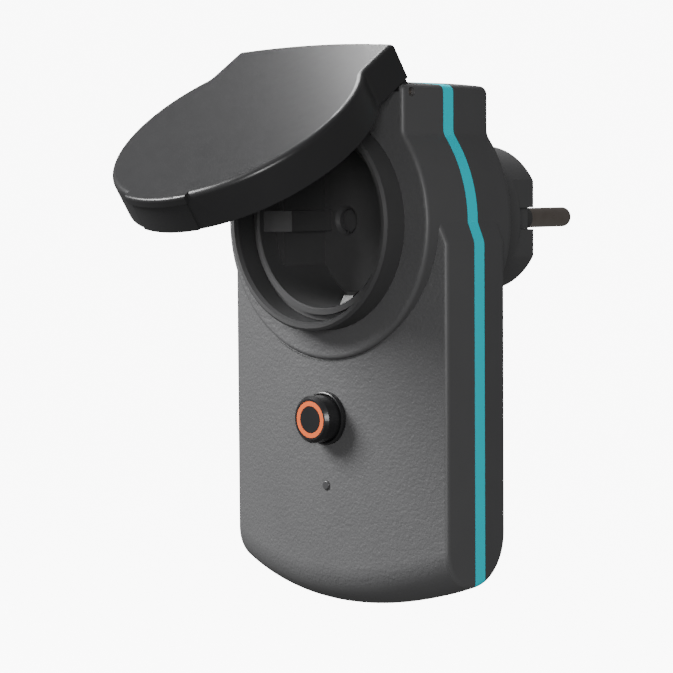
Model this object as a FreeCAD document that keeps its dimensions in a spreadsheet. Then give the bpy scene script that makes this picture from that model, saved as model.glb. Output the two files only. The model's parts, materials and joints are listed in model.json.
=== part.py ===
import FreeCAD, Part
import math
import os
import Sketcher

# Outdoor smart plug adapter: a Schuko plug on its back, a lidded Schuko socket on its front,
# and a radio-controlled relay board in the lower block.
# Frame: origin at the centre of the plug's end face, +Y along the pins (into the wall),
# +Z up, +X to the right for a person facing the socket. Millimetres.
# Depths are distances in front of the plug's end face, so a point at depth 50 has y = -50.

DRIVING_SIZES = {
    # depth stations
    "ring_depth": 57.6,
    "band_front": 44.0,
    "band_back": 40.6,
    "neck_back": 27.3,
    "block_back": 33.2,
    "wall": 2.4,
    # outline seen from the front
    "round_radius": 31.3,
    "neck_half": 24.2,
    "neck_top": 30.6,
    "top_arch_radius": 196.0,
    "block_half": 33.2,
    "shoulder_drop": 4.4,
    "block_bottom": 81.8,
    "bottom_arch_radius": 91.0,
    "crown_radius": 137.0,
    "front_rounding": 9.2,
    "rear_rounding": 11.0,
    "side_rounding": 1.2,
    "ring_rounding": 1.0,
    "back_rounding": 2.5,
    "neck_corner": 1.6,
    "kink_rounding": 3.0,
    "groove_width": 0.5,
    "groove_depth": 1.2,
    # plug
    "plug_radius": 17.5,
    "flat_half": 15.0,
    "carrier_length": 8.5,
    "spigot_radius": 14.8,
    "pin_radius": 2.4,
    "pin_spacing_half": 9.5,
    "pin_length": 19.0,
    "shank_radius": 2.0,
    "sleeve_radius": 2.85,
    "sleeve_length": 2.5,
    "sleeve_gap": 0.2,
    # socket
    "collar_radius": 24.5,
    "collar_bore": 22.6,
    "collar_proud": 6.1,
    "pot_radius": 19.5,
    "pot_front": 59.2,
    "pot_floor": 40.1,
    "hole_radius": 2.75,
    # button and lamp
    "button_drop": 44.7,
    "button_radius": 5.4,
    "bezel_radius": 6.1,
    "button_proud": 5.3,
    "lamp_drop": 60.2,
    "pipe_radius": 1.1,
    # lid
    "hinge_height": 29.0,
    "hinge_depth": 54.6,
    "lid_open": 56.3,
    "lid_radius": 30.1,
    "lid_face": 12.0,
    "lid_rim": 3.15,
    "tab_half": 24.0,
    "tab_top": 1.2,
    "barrel_half": 22.85,
    "barrel_radius": 2.2,
    "hinge_pin_radius": 1.0,
    # circuit board
    "board_back": 46.4,
    "board_thick": 1.6,
    "board_half": 22.5,
}


class Size:
    """A length that keeps its number and the sheet expression that gives it."""

    def __init__(self, number, text):
        self.number = number
        self.text = text

    @staticmethod
    def of(value):
        return value if isinstance(value, Size) else Size(float(value), repr(float(value)))

    def __add__(self, other):
        other = Size.of(other)
        return Size(self.number + other.number, f"({self.text} + {other.text})")

    def __sub__(self, other):
        other = Size.of(other)
        return Size(self.number - other.number, f"({self.text} - {other.text})")

    def __mul__(self, other):
        other = Size.of(other)
        return Size(self.number * other.number, f"({self.text} * {other.text})")

    def __rsub__(self, other):
        return Size.of(other) - self

    def __neg__(self):
        return Size(-self.number, f"(0 - {self.text})")

    __radd__ = __add__
    __rmul__ = __mul__

    def leg(self, other):
        """The other leg of a right triangle whose longest side is this length."""
        other = Size.of(other)
        number = math.sqrt(self.number ** 2 - other.number ** 2)
        return Size(number, f"sqrt({self.text}^2 - {other.text}^2)")


doc = FreeCAD.newDocument("smart_plug")
sheet = doc.addObject("Spreadsheet::Sheet", "dims")
nodes = []


class Dims:
    """Each driving dimension as an attribute, backed by its cell in the sheet."""


d = Dims()
for row, (alias, number) in enumerate(DRIVING_SIZES.items(), start=1):
    sheet.set(f"A{row}", alias)
    sheet.set(f"B{row}", str(number))
    sheet.setAlias(f"B{row}", alias)
    setattr(d, alias, Size(number, f"dims.{alias}"))
doc.recompute()


# ---------------------------------------------------------------- helpers

def bind(thing, prop, size):
    """Give a property its value, and the sheet expression behind it."""
    size = Size.of(size)
    if "." not in prop:
        setattr(thing, prop, size.number)
    thing.setExpression(prop, size.text)


def place(thing, x=0, depth=0, z=0):
    """Move an object to x, depth in front of the plug's end face, and z."""
    for axis, size in (("x", x), ("y", -Size.of(depth)), ("z", z)):
        bind(thing, f"Placement.Base.{axis}", size)


def node(thing, label):
    """Mark an object as a sub-part with its own name."""
    thing.Label = label
    nodes.append(thing)
    return thing


def box(name, width, length, height, x=0, depth=0, z=0):
    """A box centred on x and z, whose back is at the depth given."""
    made = doc.addObject("Part::Box", name)
    bind(made, "Length", width)
    bind(made, "Width", length)
    bind(made, "Height", height)
    width, length, height = Size.of(width), Size.of(length), Size.of(height)
    place(made, x - width * 0.5, depth + length, z - height * 0.5)
    return made


def rod(name, radius, length, x=0, depth=0, z=0, along="depth"):
    """A cylinder that starts at the depth given and runs to the front, or is centred along x."""
    made = doc.addObject("Part::Cylinder", name)
    bind(made, "Radius", radius)
    bind(made, "Height", length)
    if along == "depth":
        made.Placement.Rotation = FreeCAD.Rotation(FreeCAD.Vector(1, 0, 0), 90)
        place(made, x, depth, z)
    elif along == "x":
        made.Placement.Rotation = FreeCAD.Rotation(FreeCAD.Vector(0, 1, 0), 90)
        place(made, x - Size.of(length) * 0.5, depth, z)
    else:
        place(made, x, depth, z - Size.of(length) * 0.5)
    return made


def tube(name, outer, inner, length, x=0, depth=0, z=0, along="depth"):
    """A tube, made as one rod cut out of another."""
    wall = rod(name + "_wall", outer, length, x, depth, z, along)
    hole = rod(name + "_hole", inner, Size.of(length) + 2, x, Size.of(depth) - 1, z, along)
    if along != "depth":
        bind(hole, "Placement.Base.y", -Size.of(depth))
    return cut(name, wall, hole)


def cut(name, base, tool):
    made = doc.addObject("Part::Cut", name)
    made.Base = base
    made.Tool = tool
    return made


def common(name, base, tool):
    made = doc.addObject("Part::Common", name)
    made.Base = base
    made.Tool = tool
    return made


def fuse(name, *shapes):
    made = doc.addObject("Part::MultiFuse", name)
    made.Shapes = list(shapes)
    return made


def body(name):
    return doc.addObject("PartDesign::Body", name)


def sketch(owner, name, plane, offset=0):
    """A sketch on one of the body's own origin planes, moved along that plane's normal."""
    made = owner.newObject("Sketcher::SketchObject", name)
    support = [f for f in owner.Origin.OriginFeatures if f.Role == plane][0]
    made.AttachmentSupport = [(support, "")]
    made.MapMode = "FlatFace"
    made.AttachmentOffset = FreeCAD.Placement(FreeCAD.Vector(0, 0, Size.of(offset).number),
                                              FreeCAD.Rotation())
    made.setExpression("AttachmentOffset.Base.z", Size.of(offset).text)
    return made


def pin_point(made, geometry, point, u, v):
    """Hold one point of a sketch at (u, v)."""
    for kind, size in (("DistanceX", Size.of(u)), ("DistanceY", Size.of(v))):
        index = made.addConstraint(
            Sketcher.Constraint(kind, -1, 1, geometry, point, size.number))
        made.setExpression(f"Constraints[{index}]", size.text)


def draw_loop(made, corners):
    """Close a loop through corners (u, v) or (u, v, radius, bulge), counterclockwise.

    A radius makes the edge that leaves its corner an arc that bulges "out" or "in"."""
    start = [(Size.of(c[0]), Size.of(c[1])) for c in corners]
    for index, corner in enumerate(corners):
        (u1, v1), (u2, v2) = start[index], start[(index + 1) % len(corners)]
        a = FreeCAD.Vector(u1.number, v1.number, 0)
        b = FreeCAD.Vector(u2.number, v2.number, 0)
        if len(corner) == 2:
            edge = made.addGeometry(Part.LineSegment(a, b), False)
        else:
            radius = Size.of(corner[2])
            chord = b - a
            outward = FreeCAD.Vector(chord.y, -chord.x, 0).normalize()
            if corner[3] == "in":
                outward = -outward
            rise = radius.number - math.sqrt(radius.number ** 2 - (chord.Length / 2) ** 2)
            middle = (a + b) * 0.5 + outward * rise
            edge = made.addGeometry(Part.Arc(a, middle, b), False)
            held = made.addConstraint(Sketcher.Constraint("Radius", edge, radius.number))
            made.setExpression(f"Constraints[{held}]", radius.text)
        # a sketch stores every arc counterclockwise, so an inward one starts at its far end
        first, last = (2, 1) if len(corner) == 4 and corner[3] == "in" else (1, 2)
        pin_point(made, edge, first, u1, v1)
        pin_point(made, edge, last, u2, v2)


def draw_circle(made, radius, u=0, v=0):
    radius, u, v = Size.of(radius), Size.of(u), Size.of(v)
    circle = Part.Circle(FreeCAD.Vector(u.number, v.number, 0),
                         FreeCAD.Vector(0, 0, 1), radius.number)
    edge = made.addGeometry(circle, False)
    held = made.addConstraint(Sketcher.Constraint("Radius", edge, radius.number))
    made.setExpression(f"Constraints[{held}]", radius.text)
    pin_point(made, edge, 3, u, v)


def feature(owner, kind, name, profile, length=None):
    made = owner.newObject("PartDesign::" + kind, name)
    made.Profile = profile
    if length is not None:
        bind(made, "Length", length)
    owner.Tip = made
    return made


def pad(owner, name, profile, length):
    """Add material from the sketch towards the front."""
    return feature(owner, "Pad", name, profile, length)


def pocket(owner, name, profile, length, forwards=False):
    """Cut from the sketch towards the back, or forwards, and make sure that it cut."""
    doc.recompute()
    before = owner.Shape.Volume
    made = feature(owner, "Pocket", name, profile, length)
    made.Reversed = forwards
    doc.recompute()
    if not owner.Shape.Volume < before:
        raise ValueError(f"{name} cuts nothing")
    return made


def pocket_through(owner, name, profile):
    """Cut from the sketch through the whole body, both ways."""
    doc.recompute()
    before = owner.Shape.Volume
    made = feature(owner, "Pocket", name, profile)
    made.Type = "ThroughAll"
    made.SideType = "Symmetric"
    doc.recompute()
    if not owner.Shape.Volume < before:
        raise ValueError(f"{name} cuts nothing")
    return made


def turn(owner, name, profile, kind="Revolution"):
    """Turn a profile of (radius, y) a full circle about the sketch's vertical axis."""
    made = owner.newObject("PartDesign::" + kind, name)
    made.Profile = profile
    made.ReferenceAxis = (profile, ["V_Axis"])
    made.Angle = 360
    owner.Tip = made
    return made


def turned_body(name, profile):
    """A body turned about the socket's axis from corners of (radius, depth)."""
    made = body(name)
    outline = sketch(made, name + "_profile", "XY_Plane")
    draw_loop(outline, [(radius, -Size.of(depth)) for radius, depth in profile])
    turn(made, name + "_turned", outline)
    return made


def round_edges(owner, name, radius, wanted):
    """Fillet the edges of the body's tip whose middle and ends pass the test."""
    doc.recompute()
    tip = owner.Tip
    names = []
    for index, edge in enumerate(tip.Shape.Edges, start=1):
        middle = edge.valueAt((edge.FirstParameter + edge.LastParameter) / 2)
        if wanted(edge, middle):
            names.append(f"Edge{index}")
    if not names:
        raise ValueError(f"{name} finds no edge")
    made = owner.newObject("PartDesign::Fillet", name)
    made.Base = (tip, names)
    bind(made, "Radius", radius)
    owner.Tip = made
    doc.recompute()
    return made


# ---------------------------------------------------------------- housing form

def block_outline(inset):
    """The lower block seen from the front, up to the level of the socket's axis."""
    half = d.block_half - inset
    radius = d.round_radius - inset
    bottom = -(d.block_bottom - inset)
    return [(-half, bottom, d.bottom_arch_radius, "out"), (half, bottom),
            (half, -d.shoulder_drop), (radius, 0),
            (-radius, 0), (-half, -d.shoulder_drop)]


def round_outline(inset):
    """The circle around the socket with the neck above it, seen from the front."""
    half = d.neck_half - inset
    radius = d.round_radius - inset
    corner = radius.leg(half)
    top = d.neck_top - inset
    return [(-half, corner, radius, "out"), (-radius, 0, radius, "out"),
            (0, -radius, radius, "out"), (radius, 0, radius, "out"),
            (half, corner), (half, top, d.top_arch_radius, "out"), (-half, top)]


def crown_cut(owner, front):
    """Take off what stands in front of the block's crowned face, an arc seen from above."""
    half = d.block_half + 2
    edge = front - (d.crown_radius - d.crown_radius.leg(half))
    ahead = sketch(owner, owner.Name + "_crown", "XY_Plane")
    draw_loop(ahead, [(-half, -(front + 10)), (half, -(front + 10)),
                      (half, -edge, d.crown_radius, "in"), (-half, -edge)])
    pocket_through(owner, owner.Name + "_crown_cut", ahead)


def near(value, target, slack=0.05):
    return abs(value - target) < slack


def along_depth(edge):
    """Whether an edge is straight and runs from front to back."""
    run = edge.Vertexes[-1].Point - edge.Vertexes[0].Point
    return abs(run.y) > 0.99 * edge.Length


def block_form(name, inset, front, roundings):
    """The closed form of the lower block, or of its inner space when inset."""
    made = body(name)
    back = d.block_back + inset
    outline = sketch(made, name + "_outline", "XZ_Plane", back)
    draw_loop(outline, block_outline(inset))
    pad(made, name + "_pad", outline, front - back)
    crown_cut(made, front)
    lowest = -(d.block_bottom - inset).number

    def bottom_edge_at_front(edge, middle):
        across = edge.Length > d.block_half.number
        return across and middle.z < lowest and middle.y < -(front.number - 9)

    def bottom_edge_at_back(edge, middle):
        across = edge.Length > d.block_half.number
        return across and middle.z < lowest and near(middle.y, -back.number)

    round_edges(made, name + "_front_rounding", roundings[0], bottom_edge_at_front)
    round_edges(made, name + "_rear_rounding", roundings[1], bottom_edge_at_back)
    return made


def round_form(name, inset, front):
    """The closed form of the round part and its neck, or of their inner space when inset."""
    made = body(name)
    back = d.neck_back + inset
    outline = sketch(made, name + "_outline", "XZ_Plane", back)
    draw_loop(outline, round_outline(inset))
    pad(made, name + "_pad", outline, front - back)
    return made


def finish_block(made):
    """Round the block's shoulders and side edges, and sink the groove around the ring."""
    def shoulder(edge, middle):
        across = near(abs(middle.x), d.block_half.number) and near(middle.z, -d.shoulder_drop.number)
        return across and edge.Length > 5

    def side_edge(edge, middle):
        below = middle.z < -d.shoulder_drop.number - 3
        return below and near(abs(middle.x), d.block_half.number) and not along_depth(edge)

    round_edges(made, "shoulder_rounding", d.kink_rounding, shoulder)
    round_edges(made, "side_edge_rounding", d.side_rounding, side_edge)
    groove = sketch(made, "ring_groove", "XZ_Plane", d.ring_depth - d.groove_depth)
    draw_circle(groove, d.round_radius + d.groove_width)
    pocket(made, "ring_groove_cut", groove, d.groove_depth, forwards=True)
    return made


def finish_round(made):
    """Round the neck's corners and kinks, the front edge of the ring and the back edge."""
    corner = d.round_radius.leg(d.neck_half).number

    def neck_corner(edge, middle):
        return along_depth(edge) and middle.z > corner + 2

    def neck_kink(edge, middle):
        return along_depth(edge) and near(middle.z, corner)

    round_edges(made, "neck_corner_rounding", d.neck_corner, neck_corner)
    round_edges(made, "neck_kink_rounding", d.kink_rounding, neck_kink)
    round_edges(made, "ring_rounding", d.ring_rounding,
                lambda edge, middle: near(middle.y, -d.ring_depth.number))
    round_edges(made, "back_rounding", d.back_rounding,
                lambda edge, middle: near(middle.y, -d.neck_back.number))
    return made


def shell_slice(name, back, front):
    """The outer form between two depths, with the inner space taken out."""
    slab = box(name + "_slab", 100, front - back, 260, depth=back)
    return cut(name + "_shell", common(name + "_slice", outer_form, slab), inner_form)


SCREWS = [(26.3, -72.0, d.block_back), (-26.3, -72.0, d.block_back),
          (19.2, 24.5, d.neck_back), (-19.2, 24.5, d.neck_back)]
BOARD_POSTS = [(18.5, -74.0), (-18.5, -74.0), (18.5, -29.0), (-18.5, -29.0)]
SCREW_BOSS = 3.3
SCREW_SHANK = 1.45
SCREW_HEAD = 2.8
SCREW_REACH = 50.0
HEAD_RECESS = 2.2
HEAD_HEIGHT = 1.8
POST_RADIUS = 2.4
POST_LENGTH = 6.4
BOARD_SHANK = 1.0
BOARD_HEAD = 2.0
HINGE_CLEARANCE = 0.3
TAB_BEHIND = 3.4
TAB_ROOM = 8.0
SLIP = 0.05
THROUGH_FRONT = 12.0


def make_front_housing():
    """Front shell: crowned block, ring around the socket, neck with the hinge recess."""
    shell = shell_slice("front", d.band_front, d.ring_depth + 1)
    bed_block = box("hinge_bed_box", d.neck_half * 2 + 12, 8, 12, depth=d.hinge_depth - 5,
                    z=d.hinge_height + 1)
    solids = [shell, common("hinge_bed", outer_form, bed_block)]
    holes = []
    for name, radius, z in (("collar", d.collar_radius, 0),
                            ("button", d.bezel_radius, -d.button_drop),
                            ("lamp", d.pipe_radius, -d.lamp_drop)):
        holes.append(rod(f"{name}_opening", radius + SLIP, THROUGH_FRONT, depth=50, z=z))
    for index, (x, z, _) in enumerate(SCREWS):
        boss_length = SCREW_REACH + 3.4 - d.band_front
        solids.append(rod(f"front_boss_{index}", SCREW_BOSS, boss_length, x, d.band_front, z))
        pilot = SCREW_REACH - d.band_front + 1
        holes.append(rod(f"front_pilot_{index}", SCREW_SHANK + SLIP, pilot, x,
                         d.band_front - 0.5, z))
    board_front = d.board_back + d.board_thick
    for index, (x, z) in enumerate(BOARD_POSTS):
        solids.append(rod(f"post_{index}", POST_RADIUS, POST_LENGTH, x, board_front, z))
        holes.append(rod(f"post_pilot_{index}", BOARD_SHANK + SLIP, 4.5, x,
                         board_front - 0.5, z))
    bed_width = (d.barrel_half + 0.2) * 2
    holes.append(rod("barrel_bed", d.barrel_radius + HINGE_CLEARANCE, bed_width,
                     depth=d.hinge_depth, z=d.hinge_height, along="x"))
    holes.append(box("tab_swing", bed_width, TAB_ROOM, TAB_ROOM,
                     depth=d.hinge_depth - TAB_BEHIND, z=d.hinge_height + TAB_ROOM / 2))
    holes.append(rod("front_pin_hole", d.hinge_pin_radius + 0.02, 60, depth=d.hinge_depth,
                     z=d.hinge_height, along="x"))
    node(cut("front_made", fuse("front_solids", *solids), fuse("front_holes", *holes)),
         "front_housing")


def make_accent_band():
    node(shell_slice("band", d.band_back, d.band_front), "accent_band")


def make_rear_housing():
    """Rear shell with the round boss that carries the plug."""
    shell = shell_slice("rear", Size.of(0), d.band_back)
    boss_length = d.neck_back + 1.5 - d.carrier_length
    solids = [shell, rod("plug_boss", d.plug_radius, boss_length, depth=d.carrier_length)]
    holes = [rod("boss_bore", d.spigot_radius + 0.2, d.neck_back + 2.7)]
    for index, (x, z, back) in enumerate(SCREWS):
        solids.append(rod(f"rear_boss_{index}", SCREW_BOSS + 0.6, d.band_back - back - 0.6,
                          x, back + 0.6, z))
        holes.append(rod(f"rear_recess_{index}", SCREW_HEAD + 0.2, HEAD_RECESS + 1, x,
                         back - 1, z))
        holes.append(rod(f"rear_screw_hole_{index}", SCREW_SHANK + 0.25, 20, x, back, z))
    node(cut("rear_made", fuse("rear_solids", *solids), fuse("rear_holes", *holes)),
         "rear_housing")


def outline_pad(name, inset, back, length):
    """Both outlines of the housing padded into one plain slab."""
    made = body(name)
    lower = sketch(made, name + "_block", "XZ_Plane", back)
    draw_loop(lower, block_outline(inset))
    pad(made, name + "_block_pad", lower, length)
    upper = sketch(made, name + "_round", "XZ_Plane", back)
    draw_loop(upper, round_outline(inset))
    pad(made, name + "_round_pad", upper, length)
    return made


def make_housing_seal():
    """A rubber cord that lies inside the band, all the way round."""
    middle = (d.band_back + d.band_front) * 0.5
    outside = outline_pad("seal_outside", d.wall + 0.1, middle - 0.8, 1.6)
    inside = outline_pad("seal_inside", d.wall + 0.9, middle - 1.8, 3.6)
    node(cut("seal_made", outside, inside), "housing_seal")


# ---------------------------------------------------------------- socket

def make_socket_collar():
    """The ring that stands out of the front and that the lid closes over."""
    front = d.ring_depth + d.collar_proud
    outer, bore = d.collar_radius, d.collar_bore
    node(turned_body("collar", [
        (bore, front - 0.9), (bore + 0.5, front), (outer - 0.6, front),
        (outer, front - 0.6), (outer, 54), (bore, 54)]), "socket_collar")


def make_socket_pot():
    """The cup that a plug goes into: side flats, guide ribs and slots for the earth clips."""
    radius, front, floor = d.pot_radius, d.pot_front, d.pot_floor
    cup = turned_body("pot", [
        (0, floor), (radius, floor), (radius, front - 0.3), (radius + 0.3, front),
        (radius + 1.5, front), (radius + 1.5, front - 1.4), (d.collar_bore - 0.2, front - 1.4),
        (d.collar_bore - 0.2, front - 2.8), (radius + 1.8, front - 2.8),
        (radius + 1.8, floor - 1.9), (1.5, floor - 1.9), (1.5, floor - 4.7),
        (0, floor - 4.7)][::-1])
    flat, flats_length = 16.5, 14.0
    rib, rib_height, rib_depth, lead_in = 14.2, 4.8, 5.2, 4.0
    rib_front = floor + 13.5
    solids = [cup]
    holes = []
    for name, side in (("right", 1), ("left", -1)):
        cheek = box(f"flat_{name}", 6, flats_length, 40, side * (flat + 3), floor - 0.2)
        core = rod(f"flat_core_{name}", radius + 0.2, flats_length, depth=floor - 0.2)
        solids.append(common(f"side_flat_{name}", cheek, core))
        guide = body(f"rib_{name}_body")
        plan = sketch(guide, f"rib_{name}_plan", "XY_Plane", -rib_height / 2)
        inner_x, outer_x = side * rib, side * (rib + rib_depth)
        corners = [(inner_x, 0.2 - floor), (inner_x, -rib_front),
                   (outer_x, -(rib_front + lead_in)), (outer_x, 0.2 - floor)]
        draw_loop(plan, corners if side < 0 else corners[::-1])
        pad(guide, f"rib_{name}_pad", plan, rib_height)
        solids.append(guide)
        hole_x = d.pin_spacing_half * side
        holes.append(rod(f"pin_hole_{name}", d.hole_radius, 6, hole_x, floor - 4))
        sink = doc.addObject("Part::Cone", f"pin_sink_{name}")
        bind(sink, "Radius1", d.hole_radius)
        bind(sink, "Radius2", d.hole_radius + 1)
        bind(sink, "Height", 1)
        sink.Placement.Rotation = FreeCAD.Rotation(FreeCAD.Vector(1, 0, 0), 90)
        place(sink, hole_x, floor - 0.8, 0)
        holes.append(sink)
    for name, side in (("top", 1), ("bottom", -1)):
        holes.append(box(f"clip_slot_{name}", 4.4, 11.5, 6, 0, 41.6, side * 20.5))
    node(cut("pot_made", fuse("pot_solids", *solids), fuse("pot_holes", *holes)), "socket_pot")


def make_shutter():
    """A disc behind the pin holes that turns aside when both pins push it."""
    made = body("shutter_body")
    disc = sketch(made, "shutter_disc", "XZ_Plane", 35.5)
    draw_circle(disc, 13.6)
    pad(made, "shutter_pad", disc, 2)
    openings = sketch(made, "shutter_openings", "XZ_Plane", 37.5)
    draw_circle(openings, 1.6)
    turned = math.radians(38)
    for side in (1, -1):
        draw_circle(openings, 3.0, d.pin_spacing_half * side * math.cos(turned),
                    d.pin_spacing_half * side * math.sin(turned))
    pocket(made, "shutter_cut", openings, 2)
    node(made, "shutter")
    node(tube("shutter_spring_ring", 3.4, 2.9, 0.45, depth=37.6), "shutter_spring")


def strip(name, corners, width, x=0):
    """A bent metal strip: a side view of (depth, z) corners, made width wide about x."""
    made = body(name)
    side_view = sketch(made, name + "_side_view", "YZ_Plane", x)
    draw_loop(side_view, [(-Size.of(depth), z) for depth, z in corners])
    bent = pad(made, name + "_pad", side_view, width)
    bent.SideType = "Symmetric"
    return made


def mirrored_strip(name, upper_half, width):
    """A strip whose lower half mirrors the corners of its upper half."""
    lower_half = [(depth, -z) for depth, z in reversed(upper_half)]
    return strip(name, upper_half + lower_half, width)


def make_contacts():
    """Earth bracket, the block behind the pot and its two sleeve contacts."""
    node(mirrored_strip("earth", [
        (34.4, 22.3), (52.4, 22.3), (52.4, 21.4), (49.6, 17.0), (48.4, 16.2), (47.0, 16.4),
        (43.2, 18.6), (43.6, 19.3), (47.4, 17.2), (48.5, 17.2), (51.2, 21.5),
        (35.2, 21.5)], 3.0), "earth_bracket")
    solid = box("contact_block_box", 26.4, 13.6, 14, depth=20.5)
    holes = []
    for name, side in (("live", 1), ("neutral", -1)):
        x = d.pin_spacing_half * side
        holes.append(rod(f"contact_hole_{name}", 3.5, 20, x, 18))
        node(tube(f"{name}_sleeve", 3.4, 2.45, 13, x, 21), f"contact_{name}")
    node(cut("contact_block_made", solid, fuse("contact_holes", *holes)), "contact_block")


# ---------------------------------------------------------------- plug

SLEEVE_SEAT = 2.0
PIN_END = 13.0


def make_carrier():
    """The end piece of the plug: flats and grooves at its sides, slots for the earth clips."""
    made = body("carrier")
    face = sketch(made, "carrier_face", "XZ_Plane")
    half, radius = d.flat_half, d.plug_radius
    corner = radius.leg(half)
    draw_loop(face, [(half, -corner), (half, corner, radius, "out"),
                     (-half, corner), (-half, -corner, radius, "out")])
    pad(made, "carrier_pad", face, d.carrier_length)
    spigot = sketch(made, "carrier_spigot", "XZ_Plane", d.carrier_length)
    draw_circle(spigot, d.spigot_radius)
    pad(made, "carrier_spigot_pad", spigot, 2.5)
    round_edges(made, "flat_corners", 1.5,
                lambda edge, middle: along_depth(edge) and near(abs(middle.x), half.number))
    round_edges(made, "carrier_rim", 0.8, lambda edge, middle: near(middle.y, 0))
    holes = []
    for name, side in (("right", 1), ("left", -1)):
        holes.append(box(f"plug_groove_{name}", 6, 10, 5.2, (half + 0.8) * side, -1.5))
        x = d.pin_spacing_half * side
        holes.append(rod(f"sleeve_seat_{name}", d.sleeve_radius + 0.03, SLEEVE_SEAT + 1, x, -1))
        holes.append(rod(f"shank_hole_{name}", d.shank_radius + SLIP, 14, x, -1))
    for name, side in (("top", 1), ("bottom", -1)):
        holes.append(box(f"earth_slot_{name}", 6, 12.5, 4, 0, -1, side * 15.5))
    node(cut("carrier_made", made, fuse("carrier_holes", *holes)), "pin_carrier")


def make_pins():
    """Two round pins with insulating sleeves at their roots, and the earth strap."""
    sleeves = []
    for name, side in (("live", 1), ("neutral", -1)):
        x = d.pin_spacing_half * side
        root = d.sleeve_length + d.sleeve_gap
        pin = body(f"pin_{name}_body")
        section = sketch(pin, f"pin_{name}_section", "XZ_Plane", -d.pin_length)
        draw_circle(section, d.pin_radius, x)
        pad(pin, f"pin_{name}_pad", section, d.pin_length - root)
        shank = sketch(pin, f"pin_{name}_shank", "XZ_Plane", -root)
        draw_circle(shank, d.shank_radius, x)
        pad(pin, f"pin_{name}_shank_pad", shank, root + PIN_END)
        round_edges(pin, f"pin_{name}_tip", 1.6,
                    lambda edge, middle: near(middle.y, d.pin_length.number))
        node(pin, f"pin_{name}")
        sleeves.append(tube(f"pin_sleeve_{name}", d.sleeve_radius, d.shank_radius + 0.03,
                            d.sleeve_length + SLEEVE_SEAT - 0.1, x, -d.sleeve_length))
    node(fuse("pin_sleeves_made", *sleeves), "pin_sleeves")
    node(mirrored_strip("plug_earth", [
        (12.2, 14.6), (7.2, 14.6), (7.2, 17.2), (1.0, 17.2), (1.0, 16.2), (6.2, 16.2),
        (6.2, 13.8), (11.4, 13.8)], 5.2), "plug_earth_strap")


def make_busbars():
    """One strip from each pin, under the contact block and down to the board."""
    for name, side in (("live", 1), ("neutral", -1)):
        node(strip(f"{name}_bar", [
            (13.2, 2.4), (13.2, -9.8), (33.0, -9.8), (33.0, -25.3), (46.3, -25.3),
            (46.3, -24.5), (33.8, -24.5), (33.8, -9.0), (14.0, -9.0), (14.0, 2.4)], 3,
            d.pin_spacing_half * side), f"{name}_busbar")


# ---------------------------------------------------------------- electronics

def make_board():
    """The relay board behind the front of the block, and what is soldered to it."""
    slab = box("board_slab", d.board_half * 2, d.board_thick, 52.5, depth=d.board_back, z=-52)
    holes = [rod(f"board_hole_{index}", 1.3, 4, x, d.board_back - 1, z)
             for index, (x, z) in enumerate(BOARD_POSTS)]
    node(cut("board_made", slab, fuse("board_holes", *holes)), "board")
    behind = d.board_back - 0.05
    blocks = {"relay": (29, 10, 12.6, 0, -37), "power_module": (20, 9, 14, -8.5, -53),
              "radio_module": (18, 3, 15, -6, -69.5)}
    for name, (width, thick, height, x, z) in blocks.items():
        node(box(f"{name}_case", width, thick, height, x, behind - thick, z), name)
    node(rod("capacitor_can", 4, 12, 12, behind - 4.1, -51, along="x"), "capacitor")
    node(rod("fuse_body", 1.6, 9, 12, behind - 1.7, -60, along="x"), "fuse")
    node(rod("varistor_disc", 4.5, 3.5, 9, behind - 3.5, -69), "varistor")
    before = d.board_back + d.board_thick
    node(box("led_case", 2, 0.9, 2, 0, before, -d.lamp_drop), "status_led")
    pipe = body("light_pipe_body")
    section = sketch(pipe, "light_pipe_section", "XZ_Plane", 49.2)
    draw_circle(section, d.pipe_radius, 0, -d.lamp_drop)
    pad(pipe, "light_pipe_pad", section, d.ring_depth + 0.2 - 49.2)
    round_edges(pipe, "light_pipe_tip", 0.4,
                lambda edge, middle: near(middle.y, -(d.ring_depth.number + 0.2)))
    node(pipe, "light_pipe")


# ---------------------------------------------------------------- button

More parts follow.
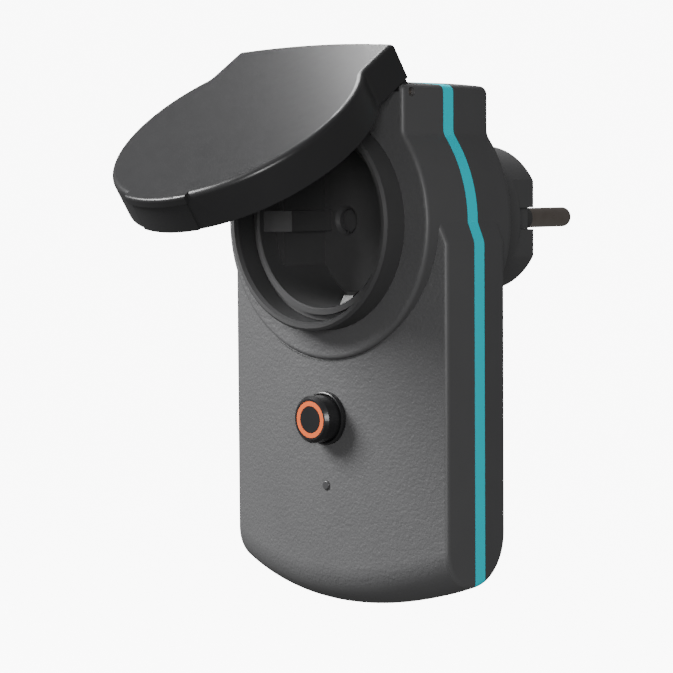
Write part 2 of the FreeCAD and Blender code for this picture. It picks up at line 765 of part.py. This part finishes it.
def make_button():
    """Cap with its light ring, return spring, bezel and the switch that it presses."""
    low = -d.button_drop
    front = d.ring_depth + d.button_proud - 0.15
    bezel = turned_body("bezel", [
        (5.55, 58.4), (5.8, 58.5), (6.0, 58.4), (d.bezel_radius, 58.2),
        (d.bezel_radius, 52.0), (1.75, 52.0), (1.75, 52.9), (5.55, 52.9)])
    cap = turned_body("cap", [
        (0, front), (3.05, front), (3.05, front - 0.6), (4.25, front - 0.6), (4.25, front),
        (d.button_radius - 0.7, front), (d.button_radius, front - 0.7),
        (d.button_radius, 54.2), (4.5, 54.2), (4.5, front - 1.9), (1.5, front - 1.9),
        (1.5, 51.9), (1.95, 51.9), (1.95, 51.3), (0, 51.3)])
    ring = turned_body("ring", [
        (3.1, front - 0.05), (4.2, front - 0.05), (4.2, front - 0.58), (3.1, front - 0.58)])
    for part, label in ((bezel, "button_bezel"), (cap, "button_cap"), (ring, "button_ring")):
        bind(part, "Placement.Base.z", low)
        node(part, label)
    coil = doc.addObject("Part::Feature", "coil")
    turns, coil_radius, wire = 4, 2.9, 0.28
    spring_front, spring_back = front - 2.0 - wire, 53.0 + wire
    length = (spring_front - spring_back).number
    helix = Part.makeHelix(length / turns, length, coil_radius)
    section = Part.makePolygon([FreeCAD.Vector(coil_radius + u * wire, 0, v * wire)
                                for u, v in ((-1, -1), (1, -1), (1, 1), (-1, 1), (-1, -1))])
    coil.Shape = Part.Wire(helix).makePipeShell([section], True, True)
    coil.Placement.Rotation = FreeCAD.Rotation(FreeCAD.Vector(1, 0, 0), 90)
    place(coil, 0, spring_back, low)
    node(coil, "button_spring")
    before = d.board_back + d.board_thick
    case = box("switch_case", 6, 2.2, 6, 0, before, low)
    well = rod("switch_well", 1.8, 3, 0, before + 0.6, low)
    node(cut("switch_made", case, well), "tact_switch")
    node(rod("plunger_rod", 1.6, 1.55, 0, before + 1.7, low), "switch_plunger")


# ---------------------------------------------------------------- lid

def catch_piece(name, half, proud, back, front):
    """A pad on the lid's lower rim, half wide each way, that stands proud of its skirt."""
    made = body(name)
    radius = d.lid_radius
    edge = -d.hinge_height - radius.leg(half)
    outline = sketch(made, name + "_outline", "XZ_Plane", back)
    draw_loop(outline, [(-half, edge + 2), (-half, edge - proud, radius + proud, "out"),
                        (half, edge - proud), (half, edge + 2)])
    pad(made, name + "_pad", outline, front - back)
    return made


def make_lid():
    """The lid, modelled closed with its hinge axis at the body's own origin, then opened."""
    made = body("lid_body")
    centre = -d.hinge_height
    corner = d.lid_radius.leg(d.tab_half)
    radius = d.lid_radius
    outline = sketch(made, "lid_outline", "XZ_Plane", d.lid_rim)
    draw_loop(outline, [
        (-d.tab_half, centre + corner, radius, "out"), (-radius, centre, radius, "out"),
        (0, centre - radius, radius, "out"), (radius, centre, radius, "out"),
        (d.tab_half, centre + corner), (d.tab_half, d.tab_top, d.top_arch_radius - 20, "out"),
        (-d.tab_half, d.tab_top)])
    pad(made, "lid_pad", outline, d.lid_face - d.lid_rim)
    kink = (centre + corner).number
    round_edges(made, "lid_kinks", 4.0,
                lambda edge, middle: along_depth(edge) and near(middle.z, kink))
    round_edges(made, "tab_corners", 0.8,
                lambda edge, middle: along_depth(edge) and near(middle.z, d.tab_top.number))
    round_edges(made, "lid_rounding", 1.3,
                lambda edge, middle: near(middle.y, -d.lid_face.number))
    hollow = sketch(made, "lid_hollow", "XZ_Plane", d.lid_rim)
    draw_circle(hollow, 27.7, 0, centre)
    pocket(made, "lid_hollow_cut", hollow, d.lid_face - 2.0 - d.lid_rim, forwards=True)
    lip = catch_piece("catch_lip", 9.3, 0.9, d.lid_face - 2.0, d.lid_face)
    round_edges(lip, "catch_lip_rounding", 0.7,
                lambda edge, middle: edge.Length > 15 and near(middle.y, -d.lid_face.number)
                and middle.z < (centre - radius).number)
    panel = catch_piece("catch_panel", 8.6, 0.35, d.lid_rim, d.lid_face - 1.5)
    barrel = rod("lid_barrel", d.barrel_radius, d.barrel_half * 2, along="x")
    web = box("lid_web", d.barrel_half * 2, d.lid_rim + 0.3, d.tab_top - 0.1, depth=0,
              z=d.tab_top * 0.5 + 0.05)
    bore = rod("lid_bore", d.hinge_pin_radius + 0.05, 60, along="x")
    swing(node(cut("lid_made", fuse("lid_solids", made, lip, panel, barrel, web), bore), "lid"))
    seal = tube("lid_seal_ring", 25.3, 22.3, 0.75, depth=d.lid_face - 2.8, z=centre)
    swing(node(seal, "lid_seal"))


def swing(thing):
    """Open a lid piece about the hinge axis and put it on the neck."""
    thing.Placement.Rotation = FreeCAD.Rotation(FreeCAD.Vector(-1, 0, 0), d.lid_open.number)
    place(thing, 0, d.hinge_depth, d.hinge_height)
    thing.setExpression("Placement.Rotation.Angle", d.lid_open.text)
    return thing


def make_hinge_pin():
    node(rod("hinge_pin_rod", d.hinge_pin_radius, d.neck_half * 2 - 2.0, depth=d.hinge_depth,
             z=d.hinge_height, along="x"), "hinge_pin")


# ---------------------------------------------------------------- screws

def make_screws():
    """Screws from the back that close the housing, and screws that hold the board."""
    closing = []
    for index, (x, z, back) in enumerate(SCREWS):
        seat = back + HEAD_RECESS
        head = rod(f"screw_head_{index}", SCREW_HEAD, HEAD_HEIGHT, x, seat - HEAD_HEIGHT, z)
        shank = rod(f"screw_shank_{index}", SCREW_SHANK, SCREW_REACH - seat, x, seat, z)
        slot = box(f"screw_slot_{index}", 4, 1, 0.8, x, seat - 2, z)
        cross = box(f"screw_cross_{index}", 0.8, 1, 4, x, seat - 2, z)
        closing.append(cut(f"screw_{index}", fuse(f"screw_solid_{index}", head, shank),
                           fuse(f"screw_drive_{index}", slot, cross)))
    node(fuse("screws_made", *closing), "housing_screws")
    holding = []
    for index, (x, z) in enumerate(BOARD_POSTS):
        head = rod(f"board_head_{index}", BOARD_HEAD, 1.4, x, d.board_back - 1.45, z)
        shank = rod(f"board_shank_{index}", BOARD_SHANK, 5.0, x, d.board_back - 0.3, z)
        holding.append(fuse(f"board_screw_{index}", head, shank))
    node(fuse("board_screws_made", *holding), "board_screws")


# ---------------------------------------------------------------- build, check and write

no_inset = Size.of(0)
outer_block = finish_block(block_form("outer_block", no_inset, d.ring_depth - 0.15,
                                      (d.front_rounding, d.rear_rounding)))
outer_round = finish_round(round_form("outer_round", no_inset, d.ring_depth))
outer_form = fuse("outer_form", outer_block, outer_round)
inner_form = fuse("inner_form",
                  block_form("inner_block", d.wall, d.ring_depth - 5.4,
                             (d.front_rounding - 3.7, d.rear_rounding - 5.2)),
                  round_form("inner_round", d.wall, d.ring_depth - d.wall))
make_front_housing()
make_accent_band()
make_rear_housing()
make_housing_seal()
make_socket_collar()
make_socket_pot()
make_shutter()
make_contacts()
make_carrier()
make_pins()
make_busbars()
make_board()
make_button()
make_lid()
make_hinge_pin()
make_screws()
doc.recompute()

for thing in doc.Objects:
    if "Invalid" in thing.State or "Error" in thing.State:
        raise ValueError(f"{thing.Name} is {thing.State}")
os.makedirs("parts", exist_ok=True)
for thing in nodes:
    shape = thing.Shape
    if shape.isNull() or not shape.isValid():
        raise ValueError(f"{thing.Label} has no valid shape")
    shape.exportStep(f"parts/{thing.Label}.step")
    print(f"{thing.Label:18} {len(shape.Solids)} solids {shape.Volume:10.1f} mm3")
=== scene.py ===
import bpy
import json
import math
from mathutils import Matrix, Vector


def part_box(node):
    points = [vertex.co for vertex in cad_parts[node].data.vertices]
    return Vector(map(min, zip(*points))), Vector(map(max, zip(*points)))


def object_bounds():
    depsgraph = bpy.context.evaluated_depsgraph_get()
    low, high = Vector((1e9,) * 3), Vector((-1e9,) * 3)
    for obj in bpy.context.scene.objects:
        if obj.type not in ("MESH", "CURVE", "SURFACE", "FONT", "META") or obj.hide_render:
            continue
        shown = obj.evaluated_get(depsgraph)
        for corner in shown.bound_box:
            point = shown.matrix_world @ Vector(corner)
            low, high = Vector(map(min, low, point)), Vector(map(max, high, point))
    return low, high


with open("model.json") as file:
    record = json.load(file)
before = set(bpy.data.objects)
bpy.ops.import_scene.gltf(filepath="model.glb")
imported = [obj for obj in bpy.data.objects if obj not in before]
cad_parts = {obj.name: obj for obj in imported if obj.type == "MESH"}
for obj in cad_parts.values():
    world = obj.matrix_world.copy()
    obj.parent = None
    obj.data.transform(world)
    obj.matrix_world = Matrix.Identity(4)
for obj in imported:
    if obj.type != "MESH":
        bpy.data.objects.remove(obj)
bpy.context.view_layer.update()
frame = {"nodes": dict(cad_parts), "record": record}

MM = 0.001

VIEW_AZIMUTH, VIEW_ELEVATION, VIEW_ROLL = 43.4, 3.8, -0.4  # degrees
VIEW_DISTANCE = 560 * MM
VIEW_LENS = 131.7  # focal length in mm, on a sensor 36 mm wide
SENSOR_WIDTH = 36
RING_PLANE = 6.1 * MM  # from the collar's front to the plane that the camera is centred on
AIM_RIGHT, AIM_UP = 2.65 * MM, -26.0 * MM  # the aimed point, from the ring's centre
CLIP_NEAR, CLIP_FAR = 0.01, 20  # metres

ROOM_LIGHT = 0.14
PAPER_WHITE = 0.9
PAPER_GLOW = 9.0
FLOOR_DROP, FLOOR_REACH, FLOOR_CURVE = 0.15, 2.5, 0.8  # metres
FLOOR_SIDES, CURVE_STEPS = 48, 12
WALL_RISE = 2.5  # times the floor's reach

CLOUD_SIZE, CLOUD_DETAIL = 9, 4  # plastic's faint patches of colour, in mm
GLOSS_SIZE, GLOSS_DETAIL, GLOSS_SPREAD = 2.5, 4, 0.05
TARNISH_SIZE, DRAWN_LINE, DRAWN_DEPTH = 3, 0.25, 0.01  # metal, in mm
FRONT_STARTS, FRONT_FULL = -0.8, -0.95  # the normal's Y where the front's grain fades in
FRONT_CLOUD, FRONT_CELL, FRONT_FINE, FRONT_DEPTH = 11, 0.9, 0.55, 0.11  # mm
CELL_SHARE = 0.6

# name, place from the part's middle, aimed point from its middle, size (m), power (W)
LAMPS = (
    ("key", (-0.60, -0.60, 0.58), (0, 0, 0), 0.45, 23),
    ("gloss", (-0.13, 0.10, 0.31), (0, -0.03, 0.03), 0.13, 0.72),
    ("camera_side", (0.66, -0.70, 0.12), (0, 0, 0), 0.25, 4.8),
)


# ---------------------------------------------------------------- camera, light and floor

def make_camera():
    """A long lens at the right front, a little above, at the angle of the reference view."""
    azimuth, elevation, roll = (
        math.radians(turn) for turn in (VIEW_AZIMUTH, VIEW_ELEVATION, VIEW_ROLL))
    back = Vector((math.sin(azimuth) * math.cos(elevation),
                   -math.cos(azimuth) * math.cos(elevation), math.sin(elevation)))
    right = Vector((math.cos(azimuth), math.sin(azimuth), 0))
    up = back.cross(right)
    ring_low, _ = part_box("socket_collar")
    ring = Vector((0, ring_low.y + RING_PLANE, 0))
    target = ring + right * AIM_RIGHT + up * AIM_UP
    data = bpy.data.cameras.new("view")
    data.sensor_width = SENSOR_WIDTH
    data.lens = VIEW_LENS
    data.clip_start = CLIP_NEAR
    data.clip_end = CLIP_FAR
    camera = bpy.data.objects.new("view", data)
    bpy.context.scene.collection.objects.link(camera)
    turned_right = right * math.cos(roll) + up * math.sin(roll)
    turned_up = up * math.cos(roll) - right * math.sin(roll)
    camera.matrix_world = Matrix((turned_right, turned_up, back)).transposed().to_4x4()
    camera.location = target + back * VIEW_DISTANCE
    bpy.context.scene.camera = camera


make_camera()


def aim(thing, target):
    thing.rotation_euler = (Vector(target) - thing.location).to_track_quat("-Z", "Y").to_euler()


def soft_box(name, place, target, size, watts):
    """A square area light that points at the target."""
    data = bpy.data.lights.new(name, "AREA")
    data.shape = "SQUARE"
    data.size = size
    data.energy = watts
    lamp = bpy.data.objects.new(name, data)
    bpy.context.scene.collection.objects.link(lamp)
    lamp.location = place
    aim(lamp, target)


def paper_material():
    """Matt white paper that glows a little, so that it stays pale away from the lamps."""
    paper = bpy.data.materials.new("paper")
    paper.use_nodes = True
    shader = paper.node_tree.nodes["Principled BSDF"]
    shader.inputs["Base Color"].default_value = (PAPER_WHITE, PAPER_WHITE, PAPER_WHITE, 1)
    shader.inputs["Roughness"].default_value = 0.9
    shader.inputs["Emission Color"].default_value = (1, 1, 1, 1)
    shader.inputs["Emission Strength"].default_value = PAPER_GLOW
    return paper


def make_sweep(level, reach, curve):
    """A round floor whose rim curves up into a wall, all in one sheet of paper."""
    rings = [(0.0, 0.0), (0.5, 0.0)]  # share of the reach, height in metres
    for step in range(CURVE_STEPS + 1):
        turn = step / CURVE_STEPS * math.pi / 2
        rings.append(((reach - curve) / reach + curve / reach * math.sin(turn),
                      curve * (1 - math.cos(turn))))
    rings.append((1.0, WALL_RISE * reach))
    sides = FLOOR_SIDES
    points, faces = [], []
    for radius, height in rings:
        for side in range(sides):
            angle = 2 * math.pi * side / sides
            points.append((reach * radius * math.cos(angle), reach * radius * math.sin(angle),
                           level + height))
    for ring in range(len(rings) - 1):
        for side in range(sides):
            a, b = ring * sides + side, ring * sides + (side + 1) % sides
            faces.append((a, b, b + sides, a + sides))
    mesh = bpy.data.meshes.new("floor")
    mesh.from_pydata(points, [], faces)
    mesh.shade_smooth()
    mesh.materials.append(paper_material())
    floor = bpy.data.objects.new("floor", mesh)
    bpy.context.scene.collection.objects.link(floor)
    floor.visible_diffuse = False
    floor.visible_glossy = False


def make_studio():
    """A white sweep, a big soft lamp at the upper left, two small ones and a dim room."""
    low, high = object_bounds()
    middle = (low + high) * 0.5
    world = bpy.data.worlds.new("studio")
    world.use_nodes = True
    sky = world.node_tree.nodes["Background"]
    sky.inputs["Color"].default_value = (1, 1, 1, 1)
    sky.inputs["Strength"].default_value = ROOM_LIGHT
    bpy.context.scene.world = world
    for name, place, target, size, watts in LAMPS:
        soft_box(name, middle + Vector(place), middle + Vector(target), size, watts)
    make_sweep(low.z - FLOOR_DROP, FLOOR_REACH, FLOOR_CURVE)


make_studio()


# ---------------------------------------------------------------- materials

class Graph:
    """A small helper that adds nodes to a material and links them."""

    def __init__(self, name):
        self.material = bpy.data.materials.new(name)
        self.material.use_nodes = True
        self.tree = self.material.node_tree
        self.shader = self.tree.nodes["Principled BSDF"]
        self.place = self.add("ShaderNodeTexCoord").outputs["Object"]

    def add(self, kind, inputs=(), **settings):
        made = self.tree.nodes.new(kind)
        for key, value in settings.items():
            setattr(made, key, value)
        for key, value in dict(inputs).items():
            if isinstance(value, bpy.types.NodeSocket):
                self.tree.links.new(value, made.inputs[key])
            else:
                made.inputs[key].default_value = value
        return made

    def noise(self, size_mm, detail=3.0, stretch=(1, 1, 1)):
        """Noise whose features are about size_mm across, from 0 to 1."""
        place = self.place
        if stretch != (1, 1, 1):
            place = self.add("ShaderNodeMapping", {"Vector": place, "Scale": stretch}).outputs[0]
        return self.add("ShaderNodeTexNoise", {
            "Vector": place, "Scale": 1000 / size_mm, "Detail": detail}).outputs["Fac"]

    def ramp(self, fac, low, high):
        """The factor stretched so that 0 to 1 gives low to high."""
        return self.add("ShaderNodeMapRange", {
            "Value": fac, "To Min": low, "To Max": high}).outputs["Result"]

    def math(self, operation, a, b=0.0):
        return self.add("ShaderNodeMath", {0: a, 1: b}, operation=operation).outputs[0]

    def tone(self, fac, dark, light):
        """A colour between two, by a factor."""
        mix = self.add("ShaderNodeMix", {"Factor": fac}, data_type="RGBA")
        mix.inputs["A"].default_value = (*dark, 1)
        mix.inputs["B"].default_value = (*light, 1)
        return mix.outputs["Result"]

    def set(self, key, value):
        if isinstance(value, bpy.types.NodeSocket):
            self.tree.links.new(value, self.shader.inputs[key])
        else:
            self.shader.inputs[key].default_value = value

    def bump(self, height, depth_mm):
        bump = self.add("ShaderNodeBump", {
            "Height": height, "Distance": depth_mm * MM, "Strength": 1.0})
        self.set("Normal", bump.outputs["Normal"])


def plastic(name, dark, light, rough, grain_mm, grain_depth, specular=0.5):
    """Moulded plastic: faint cloudy colour, uneven gloss and a fine skin grain."""
    g = Graph(name)
    g.set("Base Color", g.tone(g.noise(CLOUD_SIZE, CLOUD_DETAIL), dark, light))
    gloss = g.noise(GLOSS_SIZE, GLOSS_DETAIL)
    g.set("Roughness", g.ramp(gloss, rough - GLOSS_SPREAD, rough + GLOSS_SPREAD))
    g.set("Specular IOR Level", specular)
    g.bump(g.noise(grain_mm, 2), grain_depth)
    return g.material


def metal(name, dark, light, rough, stretch):
    """Metal with fine drawing lines along one axis and patchy tarnish."""
    g = Graph(name)
    g.set("Metallic", 1.0)
    g.set("Base Color", g.tone(g.noise(TARNISH_SIZE, 4), dark, light))
    lines = g.noise(DRAWN_LINE, 2, stretch)
    g.set("Roughness", g.ramp(lines, rough - 0.08, rough + 0.1))
    g.bump(lines, DRAWN_DEPTH)
    return g.material


def front_plastic():
    """Smooth satin plastic whose crowned front face has a coarse spark-eroded grain."""
    g = Graph("front_plastic")
    g.set("Base Color",
          g.tone(g.noise(FRONT_CLOUD, 4), (0.092, 0.092, 0.094), (0.106, 0.106, 0.108)))
    facing = g.add("ShaderNodeSeparateXYZ",
                   {0: g.add("ShaderNodeNewGeometry").outputs["Normal"]}).outputs["Y"]
    on_front = g.add("ShaderNodeMapRange", {
        "Value": facing, "From Min": FRONT_STARTS, "From Max": FRONT_FULL}).outputs["Result"]
    cells = g.add("ShaderNodeTexVoronoi", {"Vector": g.place, "Scale": 1000 / FRONT_CELL},
                  feature="SMOOTH_F1").outputs["Distance"]
    grain = g.math("ADD", g.math("MULTIPLY", cells, CELL_SHARE), g.noise(FRONT_FINE, 4))
    g.set("Roughness", g.ramp(g.noise(2.0, 4), 0.42, 0.52))
    g.bump(g.math("MULTIPLY", grain, on_front), FRONT_DEPTH)
    return g.material


def make_finishes():
    """One material for each slot of the record."""
    return {
        "front_shell": front_plastic(),
        "rear_shell": plastic("rear_plastic", (0.078, 0.078, 0.080), (0.090, 0.090, 0.092),
                              0.42, 0.5, 0.012),
        "accent": plastic("accent_plastic", (0.0, 0.80, 0.97), (0.0, 0.86, 1.0),
                          0.55, 0.4, 0.008, 0.0),
        "lid_shell": plastic("lid_plastic", (0.023, 0.023, 0.024), (0.028, 0.028, 0.029),
                             0.33, 0.35, 0.005),
        "black_insert": plastic("insert_plastic", (0.056, 0.056, 0.057), (0.068, 0.068, 0.069),
                                0.55, 0.5, 0.01, 0.25),
        "seal": plastic("seal_rubber", (0.012, 0.012, 0.012), (0.02, 0.02, 0.02),
                        0.75, 0.6, 0.02, 0.3),
        "pin_metal": metal("pin_metal", (0.34, 0.29, 0.26), (0.5, 0.45, 0.41), 0.3, (1, 0.05, 1)),
        "brass": metal("brass_strip", (0.6, 0.42, 0.18), (0.78, 0.58, 0.28), 0.3, (1, 0.05, 1)),
        # earth clip: tinned strip coloured near black, far darker than bare tin: painted shade, so
        # that the clip deep in the socket doesn't shine
        "earth_metal": metal("tinned_strip_painted_shade", (0.07, 0.07, 0.07), (0.10, 0.10, 0.098), 0.5,
                             (1, 1, 0.05)),
        "button_black": plastic("button_plastic", (0.013, 0.013, 0.014), (0.018, 0.018, 0.019),
                                0.3, 0.3, 0.004),
        "orange_ring": plastic("ring_plastic", (0.75, 0.13, 0.035), (0.85, 0.17, 0.05),
                               0.3, 0.3, 0.004),
        "clear_pipe": plastic("pipe_plastic", (0.05, 0.05, 0.052), (0.07, 0.07, 0.072),
                              0.2, 0.5, 0.003),
        "circuit_board": plastic("solder_mask", (0.006, 0.09, 0.03), (0.01, 0.13, 0.045),
                                 0.35, 0.8, 0.01),
        "component": plastic("component_plastic", (0.02, 0.02, 0.022), (0.03, 0.03, 0.032),
                             0.4, 0.4, 0.01),
        "relay_case": plastic("relay_plastic", (0.015, 0.07, 0.25), (0.02, 0.09, 0.3),
                              0.35, 0.5, 0.008),
        "can_metal": metal("shield_can", (0.5, 0.5, 0.51), (0.66, 0.66, 0.67), 0.25, (0.05, 1, 1)),
    }


def paint_nodes():
    """Give each CAD node the material of its slot."""
    finishes = make_finishes()
    for part in frame["record"]["subparts"]:
        thing = frame["nodes"][part["node"]]
        thing.data.materials.clear()
        thing.data.materials.append(finishes[part["material_slot"]])


paint_nodes()
